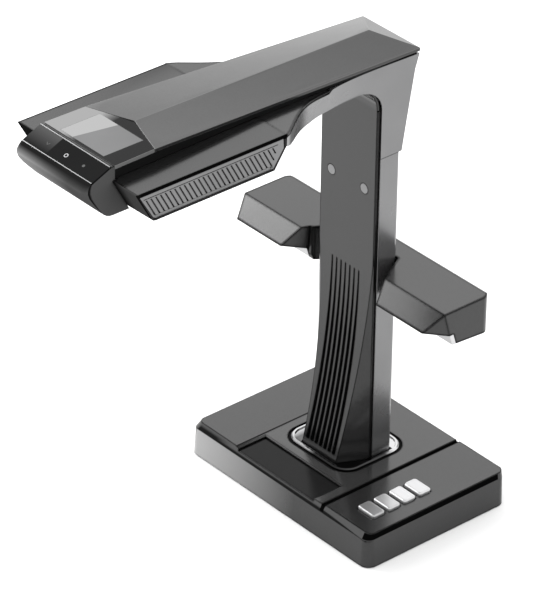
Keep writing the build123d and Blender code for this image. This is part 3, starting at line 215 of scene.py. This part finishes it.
def plane_mask(tree, spots, normal, offset, soft):
    """One where normal . (x, y, z) is above offset + soft, nought where it is below offset."""
    total = None
    for socket, weight in zip(spots, normal):
        if weight:
            term = maths(tree, "MULTIPLY", socket, weight)
            total = term if total is None else maths(tree, "ADD", total, term)
    return remap(tree, total, offset, offset + soft)


def zone_mask(tree, spots, planes):
    """Product of several plane masks, each (normal, offset, soft)."""
    total = None
    for normal, offset, soft in planes:
        mask = plane_mask(tree, spots, normal, offset, soft)
        total = mask if total is None else maths(tree, "MULTIPLY", total, mask)
    return total


def box_planes(x0, x1, y0, y1, z0, z1, soft=0.3):
    """The six planes of a box zone."""
    return [((1, 0, 0), x0, soft), ((-1, 0, 0), -x1, soft), ((0, 1, 0), y0, soft), ((0, -1, 0), -y1, soft),
            ((0, 0, 1), z0, soft), ((0, 0, -1), -z1, soft)]


# ---------------------------------------------------------------- materials
def edge_mask(tree, radius):
    """One within radius millimetres of the part's edges, nought on its flat faces."""
    bevel = node(tree, "ShaderNodeBevel", samples=MASK_SAMPLES)
    bevel.inputs["Radius"].default_value = radius * MM
    surface = node(tree, "ShaderNodeNewGeometry")
    agree = node(tree, "ShaderNodeVectorMath", operation="DOT_PRODUCT")
    tree.links.new(bevel.outputs["Normal"], agree.inputs[0])
    tree.links.new(surface.outputs["True Normal"], agree.inputs[1])
    return remap(tree, agree.outputs["Value"], FLAT_COSINE, EDGE_COSINE)


def crevice_shade_mask(tree, reach):
    """Painted shade: nought deep in slots and seams narrower than reach millimetres, one on open faces."""
    shade = node(tree, "ShaderNodeAmbientOcclusion", samples=MASK_SAMPLES)
    shade.inputs["Distance"].default_value = reach * MM
    return remap(tree, shade.outputs["AO"], DEEP_LIGHT, OPEN_LIGHT)


def around(value, share):
    """The two numbers that lie a share below and above value."""
    return value * (1 - share), value * (1 + share)


def moulded(name, grey, rough, grain=900.0, bump=0.05, metallic=0.0, coat=0.0, mottle=0.08, edge=0.0,
            line=0.7, shine=0.5, tint=None, painted_shade=(), painted_tones=(), crevice_shade=0.0):
    """Moulded or painted surface.

    It has a fine grain, a mottled tone and uneven gloss. Edges within line millimetres, convex and
    concave alike, are darkened and dulled where edge is below nought, which in creases is painted shade,
    and lightened into a painted highlight where it is above. Each zone of painted shade, given as (planes,
    strength), is blackened and dulled, and each zone of painted tone, given as (planes, tone), takes that
    tone: painted light where it is paler, painted shade where it is darker. Slots narrower than the
    crevice reach in millimetres go dark with painted shade."""
    material = bpy.data.materials.new(name)
    material.use_nodes = True
    tree = material.node_tree
    link = tree.links.new
    shader = tree.nodes["Principled BSDF"]
    shader.inputs["Metallic"].default_value = metallic
    shader.inputs["Coat Weight"].default_value = coat
    shader.inputs["Coat Roughness"].default_value = COAT_ROUGHNESS
    where, *spots = places(tree)
    fine = node(tree, "ShaderNodeTexNoise")
    fine.inputs["Scale"].default_value = grain
    fine.inputs["Detail"].default_value = GRAIN_DETAIL
    broad = node(tree, "ShaderNodeTexNoise")
    broad.inputs["Scale"].default_value = CLOUD_SCALE
    broad.inputs["Detail"].default_value = CLOUD_DETAIL
    for texture in (fine, broad):
        link(where, texture.inputs["Vector"])
    tone = tint or (grey, grey, grey * BLUE_CAST)
    darker = [part * (1 - mottle) for part in tone] + [1]
    lighter = [part * (1 + mottle) for part in tone] + [1]
    colour = blend(tree, remap(tree, broad.outputs["Fac"], *TONE_NOISE), darker, lighter)
    level = remap(tree, fine.outputs["Fac"], *GLOSS_NOISE, *around(shine, GLOSS_SPREAD))
    if edge:
        rim = edge_mask(tree, line)
        # edge above nought paints a highlight along the edges
        if edge > 0:
            edge_highlight = min(1, grey * EDGE_HIGHLIGHT_GAIN + EDGE_HIGHLIGHT_LIFT)
            colour = blend(tree, maths(tree, "MULTIPLY", rim, edge), colour, edge_highlight)
        # edge below nought darkens and dulls the edge lines, which in creases is painted shade
        else:
            colour = blend(tree, maths(tree, "MULTIPLY", rim, -edge), colour, grey * EDGE_DARK_SHARE)
            level = maths(tree, "MULTIPLY", level, remap(tree, rim, 0, 1, 1, 1 + edge))
    # zones of painted shade, blackened and dulled
    for planes, strength in painted_shade:
        zone = zone_mask(tree, spots, planes)
        colour = blend(tree, maths(tree, "MULTIPLY", zone, strength), colour, SHADE_TONE)
        level = maths(tree, "MULTIPLY", level, remap(tree, zone, 0, 1, 1, 1 - strength))
    # zones of painted light and shade, each in its own tone
    for planes, tone_here in painted_tones:
        colour = blend(tree, zone_mask(tree, spots, planes), colour, tone_here)
    # painted shade in slots and seams narrower than the crevice reach
    if crevice_shade:
        unshaded = crevice_shade_mask(tree, crevice_shade)
        colour = blend(tree, unshaded, CREVICE_SHADE_TONE, colour)
        level = maths(tree, "MULTIPLY", level, unshaded)
    link(colour, shader.inputs["Base Color"])
    link(level, shader.inputs["Specular IOR Level"])
    roughness = remap(tree, broad.outputs["Fac"], *GLOSS_NOISE, *around(rough, ROUGH_SPREAD))
    link(roughness, shader.inputs["Roughness"])
    relief = node(tree, "ShaderNodeBump")
    relief.inputs["Strength"].default_value = bump
    relief.inputs["Distance"].default_value = GRAIN_DEPTH * MM
    link(fine.outputs["Fac"], relief.inputs["Height"])
    link(relief.outputs["Normal"], shader.inputs["Normal"])
    return material


# The zones below are painted light and shade, laid in object coordinates, so they don't follow the light.
# A plane's offset and soft edge are in millimetres where its normal has unit length.

# painted shade blackens the base's reveals: the shoulder along the right side, and the key panel's groove
BASE_REVEAL_SHADE = (
    (box_planes(101.5, 120, -90, 62, 23.9, 28.7, 0.2), 1.0),
    (box_planes(53.4, 57.4, -90, 90, 24, 29.1, 0.2), 1.0),
)
# painted light on the base: a paler middle panel, and its low front rim lit paler towards the left
BASE_PAINTED_LIGHT = (
    (box_planes(-45.6, 53.2, -66.4, 69, 28.2, 29.6, 0.1), 0.016),
    ([((0, -1, 0), 69.5, 0.3), ((0, 0, -1), -23.8, 0.5), ((-1, 0, 0), -25, 120)], 0.25),
)
# painted shade on the nose: its front and right side are blackened and lose their gloss, and its left side
# some of both
NOSE_FRONT = ((0, -1, 0), 260.5, 1.5)
NOSE_SHADE = (
    ([NOSE_FRONT], 1.0),
    ([((1, 0, 0), 38.9, 0.3)], 1.0),
    ([((-1, 0, 0), 38.9, 0.3)], 0.35),
)
# painted light and shade on the nose: front, lighter to the left, dark brow, left corner, dark line at the
# right corner, right side
NOSE_PAINTED_TONES = (
    ([NOSE_FRONT], 0.05),
    ([NOSE_FRONT, ((-1, 0, 0), -20, 60)], 0.2),
    ([((0, 0, 1), 369.0, 5.0), ((0, -1, 0), 264.0, 3.0)], 0.008),
    ([((-1, 0, 0), 36.5, 2.0), ((0, 0, 1), 358.0, 10.0)], 0.03),
    ([((1, 0, 0), 38.9, 0.2)], 0.004),
    ([((1, 0, 0), 39.35, 0.2)], 0.05),
)
# painted shade on the pods: shaded fronts, a dark reveal along each top's outer edge, and dimmed tops
POD_FRONT = ((0, -0.877, -0.48), 43.2, 0.4)
POD_EDGE = ((0, -0.877, -0.48), 41.4, 0.3)
POD_SHADE = (
    ([POD_FRONT], 1.0),
    (box_planes(65.3, 70, -254, -118, 368, 380, 0.3), 1.0),
    (box_planes(-70, -65.3, -254, -118, 368, 380, 0.3), 1.0),
    ([((0, 0, 1), 369.8, 0.5)], 0.16),
)
# painted shade on the pods: fronts, darker except at the right pod's outer end, and a dark line at each
# outer corner
POD_PAINTED_TONES = (
    ([POD_FRONT], 0.035),
    ([POD_FRONT, ((-1, 0, 0), -52, 10)], 0.006),
    ([POD_EDGE, ((1, 0, 0), 64.9, 0.4)], 0.003),
    ([POD_EDGE, ((-1, 0, 0), 64.9, 0.4)], 0.003),
)
# shade on the collar: its front right, its dish and its front bead
COLLAR_SHADE = (
    ([((0.76, -0.65, 0), 12.0, 6)], 0.93),
    ([((0, -1, 0), -2.0, 14), ((0, 0, -1), -29.2, 0.3), ((1, 0, 0), -34, 8)], 0.8),
    ([((0, -1, 0), 22.0, 6), ((1, 0, 0), -33, 6)], 0.55),
)
# the roof's edge turns under into shadow
ROOF_SHADE = (([((0, -0.0441, -1), -370.2, 0.5)], 1.0),)
# painted reflection: paler left parts of the display glass, its bezel and the control strip, and a painted
# highlight on the bezel's right side
SCREEN_SHEEN = (([((-33.3, 6.8, 0), -1340, 12)], 0.22),)
BEZEL_SHEEN = (
    ([((-1, -0.12, 0), 35.0, 14)], 0.18),
    ([((1, 0.0223, 0), 33.35, 0.15)], 0.1),
)
STRIP_SHEEN = (([((-1, 0, 0), 12.6, 0.6), ((0, 1, 0), -270, 14)], 0.05),)

GRAPHITE = dict(grey=0.0075, rough=0.17, bump=0.1, edge=-0.9, line=1.5, crevice_shade=3.0)
MATERIALS = {
    "graphite_plastic": GRAPHITE,
    "pale_shell": dict(grey=0.205, rough=0.26, bump=0.1, metallic=0.9, edge=-0.5, crevice_shade=2.0),
    "grille_plastic": dict(grey=0.12, rough=0.3, bump=0.2, edge=-0.3, line=0.4, crevice_shade=1.6),
    "floor_plastic": dict(grey=0.012, rough=0.5, bump=0.5, grain=500),
    "foot_rubber": dict(grey=0.003, rough=0.8, bump=0.5, shine=0.05),
    "black_matte": dict(grey=0.003, rough=0.5, bump=0.2, shine=0.08),
    "mesh_black": dict(grey=0.001, rough=0.7, bump=0.6, shine=0.02),
    "rocker_black": dict(grey=0.006, rough=0.3, bump=0.1),
    "black_gloss": dict(grey=0.008, rough=0.12, bump=0.02, shine=0.035),
    "chip_black": dict(grey=0.02, rough=0.5, bump=0.2),
    "board_green": dict(grey=0.05, rough=0.4, tint=(0.01, 0.09, 0.04)),
    "lamp_board": dict(grey=0.4, rough=0.5),
    "lamp_window": dict(grey=0.42, rough=0.25),
    "screw_steel": dict(grey=0.12, rough=0.35, metallic=1.0),
    "ballast_steel": dict(grey=0.2, rough=0.4, metallic=1.0),
    "frame_aluminium": dict(grey=0.3, rough=0.4, metallic=1.0),
    "port_shell": dict(grey=0.35, rough=0.2, metallic=1.0),
    "cap_silver": dict(grey=0.17, rough=0.3, metallic=0.6),
    "chrome_line": dict(grey=0.2, rough=0.15, metallic=1.0),
    "collar_pearl": dict(grey=0.42, rough=0.12, metallic=1.0, bump=0.02, mottle=0.03, painted_shade=COLLAR_SHADE),
    "button_silver": dict(grey=0.42, rough=0.2, metallic=0.7, bump=0.5, edge=-0.9, line=0.5, grain=500),
    "ribbon_white": dict(grey=0.4, rough=0.5),
    "screen_glass": dict(grey=0.11, rough=0.06, bump=0.0, shine=0.06, painted_tones=SCREEN_SHEEN),
    "screen_panel": dict(grey=0.1, rough=0.2),
    "lens_coating": dict(grey=0.01, rough=0.05, coat=0.5, bump=0.0),
}
# nodes whose surface differs from their slot's, most by painted light and shade
SPECIAL = {
    "base_top_cover": dict(GRAPHITE, painted_shade=BASE_REVEAL_SHADE, painted_tones=BASE_PAINTED_LIGHT, rough=0.19),
    # painted highlight along the roof's edges, and painted shade under its edge
    "arm_top_cover": dict(GRAPHITE, edge=0.5, line=0.7, painted_shade=ROOF_SHADE, crevice_shade=0.0),
    "nose_cover": dict(GRAPHITE, painted_shade=NOSE_SHADE, painted_tones=NOSE_PAINTED_TONES, line=2.5),
    "pod_shell_right": dict(GRAPHITE, painted_shade=POD_SHADE, painted_tones=POD_PAINTED_TONES, line=3.0),
    "pod_shell_left": dict(GRAPHITE, painted_shade=POD_SHADE, painted_tones=POD_PAINTED_TONES, line=3.0),
    "side_light_housing": dict(GRAPHITE, line=3.0),
    # painted reflection on the bezel, and a painted highlight along its edges
    "display_bezel": dict(MATERIALS["black_gloss"], painted_tones=BEZEL_SHEEN, edge=0.6, line=0.5),
    "control_strip": dict(MATERIALS["black_gloss"], painted_tones=STRIP_SHEEN, shine=0.008),
    "name_plate": dict(GRAPHITE, grey=0.006, rough=0.15, edge=-0.3, shine=0.06),
    # painted shade: the first two function buttons are darker copies of the same silver
    "function_button_1": dict(MATERIALS["button_silver"], grey=0.27),
    "function_button_2": dict(MATERIALS["button_silver"], grey=0.34),
}


def dress_nodes():
    """Give every CAD node the material of its slot, or its own variant."""
    made = {name: moulded(name, **values) for name, values in MATERIALS.items()}
    for name, part in nodes.items():
        if name in SPECIAL:
            material = moulded(slots[name] + "_" + name, **SPECIAL[name])
        else:
            material = made[slots[name]]
        part.data.materials.clear()
        part.data.materials.append(material)


# ---------------------------------------------------------------- edges
# radius of each moulding's rounded edges, in millimetres
EDGE_RADII = {
    "base_top_cover": 0.3,
    "column_front_cover": 0.3,
    "column_rear_shell": 0.4,
    "neck_shell": 0.4,
    "arm_top_cover": 0.9,
    "nose_cover": 0.3,
    "pod_shell_left": 0.2,
    "pod_shell_right": 0.2,
    "pod_grille_left": 0.25,
    "pod_grille_right": 0.25,
    "side_light_housing": 0.3,
    "column_collar": 0.5,
    "name_plate": 0.2,
    "display_bezel": 0.2,
    "function_button_1": 0.4,
    "function_button_2": 0.4,
    "function_button_3": 0.4,
    "function_button_4": 0.4,
}
# shallowest edge that is rounded, in degrees, where it isn't EDGE_ANGLE
EDGE_ANGLES = {"arm_top_cover": 3, "side_light_housing": 20}


def soften_edges():
    """Weld the tessellated shell and round its hard edges."""
    for name, radius in EDGE_RADII.items():
        part = nodes[name]
        weld = part.modifiers.new("weld", "WELD")
        weld.merge_threshold = WELD_MM * MM
        bevel = part.modifiers.new("edge", "BEVEL")
        bevel.width = radius * MM
        bevel.segments = 3
        bevel.limit_method = "ANGLE"
        bevel.angle_limit = math.radians(EDGE_ANGLES.get(name, EDGE_ANGLE))
        bevel.harden_normals = True
        normals = part.modifiers.new("normals", "WEIGHTED_NORMAL")
        normals.keep_sharp = False
        for face in part.data.polygons:
            face.use_smooth = True


# ---------------------------------------------------------------- printed marks
def strip_spot(x, along, lift):
    """Point on the control strip: x across, along its slope from the rear, lift above it."""
    slope = (STRIP_FRONT - STRIP_REAR).normalized()
    up = Vector((1, 0, 0)).cross(slope)
    up = up if up.z > 0 else -up
    return (Vector((x, 0, 0)) + STRIP_REAR + slope * along + up * lift) * MM


def ribbon_mesh(name, outer, inner, closed):
    """Flat printed mark between two rows of (x, along) points."""
    top = [strip_spot(x, along, MARK_LIFT) for x, along in outer + inner]
    low = [strip_spot(x, along, 0.0) for x, along in outer + inner]
    count = len(outer)
    faces = []
    for index in range(count if closed else count - 1):
        after = (index + 1) % count
        top_face = (index, after, count + after, count + index)
        faces.append(top_face)
        faces.append(tuple(corner + 2 * count for corner in reversed(top_face)))
        faces.append((after, index, index + 2 * count, after + 2 * count))
        faces.append((count + index, count + after, 3 * count + after, 3 * count + index))
    if not closed:
        for end in (0, count - 1):
            faces.append((end, count + end, 3 * count + end, 2 * count + end))
    mesh = bpy.data.meshes.new(name)
    mesh.from_pydata(top + low, [], faces)
    mark = bpy.data.objects.new(name, mesh)
    bpy.context.scene.collection.objects.link(mark)
    return mark


def circle(x, along, radius, count=20):
    """Points of a circle on the control strip."""
    turns = [2 * math.pi * step / count for step in range(count)]
    return [(x + radius * math.cos(turn), along + radius * math.sin(turn)) for turn in turns]


def round_mark(name, x, along, radius, hole):
    """Printed ring, or a dot where its hole is tiny."""
    return ribbon_mesh(name, circle(x, along, radius), circle(x, along, hole), True)


def add_marks():
    """Chevron, ring and dot printed on the control strip's three touch keys."""
    lower = [(x, along + CHEVRON_STROKE) for x, along in CHEVRON]
    chevron = ribbon_mesh("mark_chevron", CHEVRON, lower, False)
    ring = round_mark("mark_ring", 1.7, 9.5, 1.75, 1.1)
    dot = round_mark("mark_dot", 20.6, 9.2, 1.2, 0.05)
    for mark, paint in ((chevron, 0.06), (ring, 0.3), (dot, 0.05)):
        mark.data.materials.append(moulded("print_" + mark.name, paint, 0.4, bump=0.1, shine=0.1))
        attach(mark, "scanner")


make_camera()
make_studio()
dress_nodes()
soften_edges()
add_marks()
